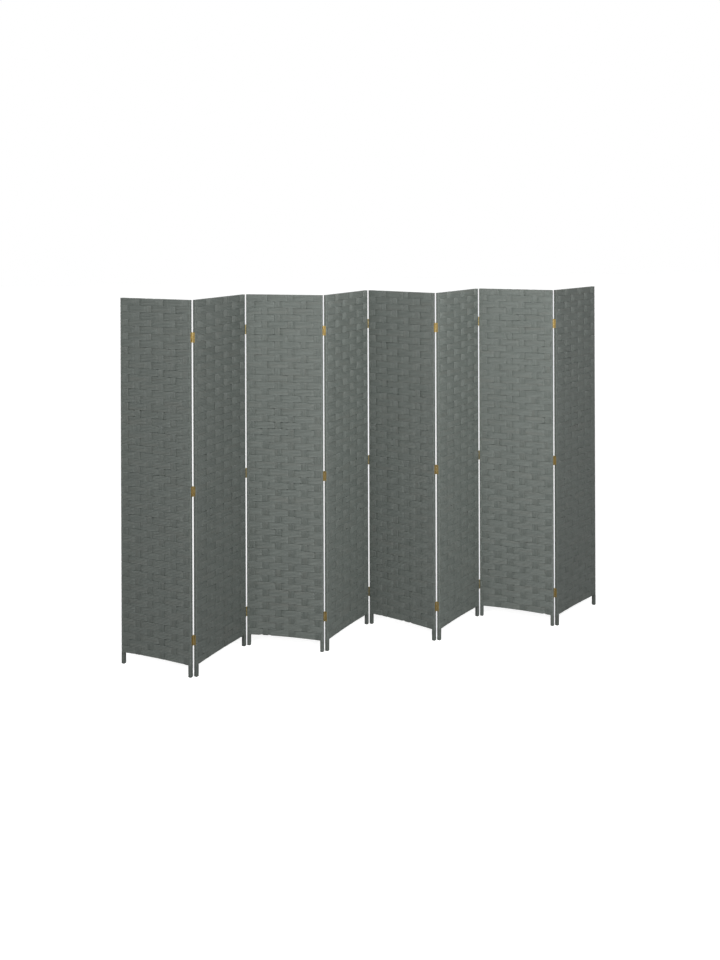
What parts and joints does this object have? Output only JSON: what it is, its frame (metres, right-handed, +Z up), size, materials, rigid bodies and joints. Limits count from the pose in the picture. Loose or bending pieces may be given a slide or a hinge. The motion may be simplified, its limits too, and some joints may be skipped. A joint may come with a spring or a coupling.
{
  "type": "folding screen",
  "caption": "Free-standing folding screen: tall woven paper-cord panels on wooden frames, joined edge to edge by brass butt hinges and standing in a zigzag on short legs.",
  "frame": {"origin": "on the floor, at the middle of the bounding box of the screen as it stands", "axes": "+X from the first panel to the last, +Z up, the front towards -Y"},
  "size_m": [2.6094, 0.379, 1.8],
  "materials": {
    "paper_cord": "matt twisted paper cord",
    "stile_wood": "matt stain",
    "rail_wood": "bare softwood",
    "hinge_brass": "satin lacquered",
    "screw_brass": "satin"
  },
  "bodies": {
    "panel_1": {"panel_1_left_stile": "stile_wood", "panel_1_right_stile": "stile_wood", "panel_1_bottom_rail": "rail_wood", "panel_1_top_rail": "rail_wood", "panel_1_weave": "paper_cord", "panel_1_hinge_leaves": "hinge_brass", "panel_1_hinge_screws": "screw_brass"},
    "panel_2": {"panel_2_left_stile": "stile_wood", "panel_2_right_stile": "stile_wood", "panel_2_bottom_rail": "rail_wood", "panel_2_top_rail": "rail_wood", "panel_2_weave": "paper_cord", "panel_2_hinge_leaves": "hinge_brass", "panel_2_hinge_screws": "screw_brass", "panel_2_hinge_pins": "hinge_brass"},
    "panel_3": {"panel_3_left_stile": "stile_wood", "panel_3_right_stile": "stile_wood", "panel_3_bottom_rail": "rail_wood", "panel_3_top_rail": "rail_wood", "panel_3_weave": "paper_cord", "panel_3_hinge_leaves": "hinge_brass", "panel_3_hinge_screws": "screw_brass"},
    "panel_4": {"panel_4_left_stile": "stile_wood", "panel_4_right_stile": "stile_wood", "panel_4_bottom_rail": "rail_wood", "panel_4_top_rail": "rail_wood", "panel_4_weave": "paper_cord", "panel_4_hinge_leaves": "hinge_brass", "panel_4_hinge_screws": "screw_brass", "panel_4_hinge_pins": "hinge_brass"},
    "panel_5": {"panel_5_left_stile": "stile_wood", "panel_5_right_stile": "stile_wood", "panel_5_bottom_rail": "rail_wood", "panel_5_top_rail": "rail_wood", "panel_5_weave": "paper_cord", "panel_5_hinge_leaves": "hinge_brass", "panel_5_hinge_screws": "screw_brass"},
    "panel_6": {"panel_6_left_stile": "stile_wood", "panel_6_right_stile": "stile_wood", "panel_6_bottom_rail": "rail_wood", "panel_6_top_rail": "rail_wood", "panel_6_weave": "paper_cord", "panel_6_hinge_leaves": "hinge_brass", "panel_6_hinge_screws": "screw_brass", "panel_6_hinge_pins": "hinge_brass"},
    "panel_7": {"panel_7_left_stile": "stile_wood", "panel_7_right_stile": "stile_wood", "panel_7_bottom_rail": "rail_wood", "panel_7_top_rail": "rail_wood", "panel_7_weave": "paper_cord", "panel_7_hinge_leaves": "hinge_brass", "panel_7_hinge_screws": "screw_brass"},
    "panel_8": {"panel_8_left_stile": "stile_wood", "panel_8_right_stile": "stile_wood", "panel_8_bottom_rail": "rail_wood", "panel_8_top_rail": "rail_wood", "panel_8_weave": "paper_cord", "panel_8_hinge_leaves": "hinge_brass", "panel_8_hinge_screws": "screw_brass", "panel_8_hinge_pins": "hinge_brass"}
  },
  "joints": [
    {"name": "seam_1_2_hinge", "type": "hinge", "parent": "panel_2", "child": "panel_1", "pos_m": [-0.98155, -0.17715, 0.9], "axis": [0, 0, -1], "range_deg": [-84.3, 95.7]},
    {"name": "seam_2_3_hinge", "type": "hinge", "parent": "panel_3", "child": "panel_2", "pos_m": [-0.67926, 0.09505, 0.9], "axis": [0, 0, 1], "range_deg": [-73.3, 106.7]},
    {"name": "seam_3_4_hinge", "type": "hinge", "parent": "panel_4", "child": "panel_3", "pos_m": [-0.31278, -0.08147, 0.9], "axis": [0, 0, -1], "range_deg": [-70.9, 109.1]},
    {"name": "seam_4_5_hinge", "type": "hinge", "parent": "panel_4", "child": "panel_5", "pos_m": [0.00065, 0.17783, 0.9], "axis": [0, 0, -1], "range_deg": [-92.6, 87.4]},
    {"name": "seam_5_6_hinge", "type": "hinge", "parent": "panel_5", "child": "panel_6", "pos_m": [0.27589, -0.12169, 0.9], "axis": [0, 0, 1], "range_deg": [-86.9, 93.1]},
    {"name": "seam_6_7_hinge", "type": "hinge", "parent": "panel_6", "child": "panel_7", "pos_m": [0.61352, 0.1052, 0.9], "axis": [0, 0, -1], "range_deg": [-74.1, 105.9]},
    {"name": "seam_7_8_hinge", "type": "hinge", "parent": "panel_7", "child": "panel_8", "pos_m": [0.94828, -0.1259, 0.9], "axis": [0, 0, 1], "range_deg": [-68.2, 111.8]}
  ]
}
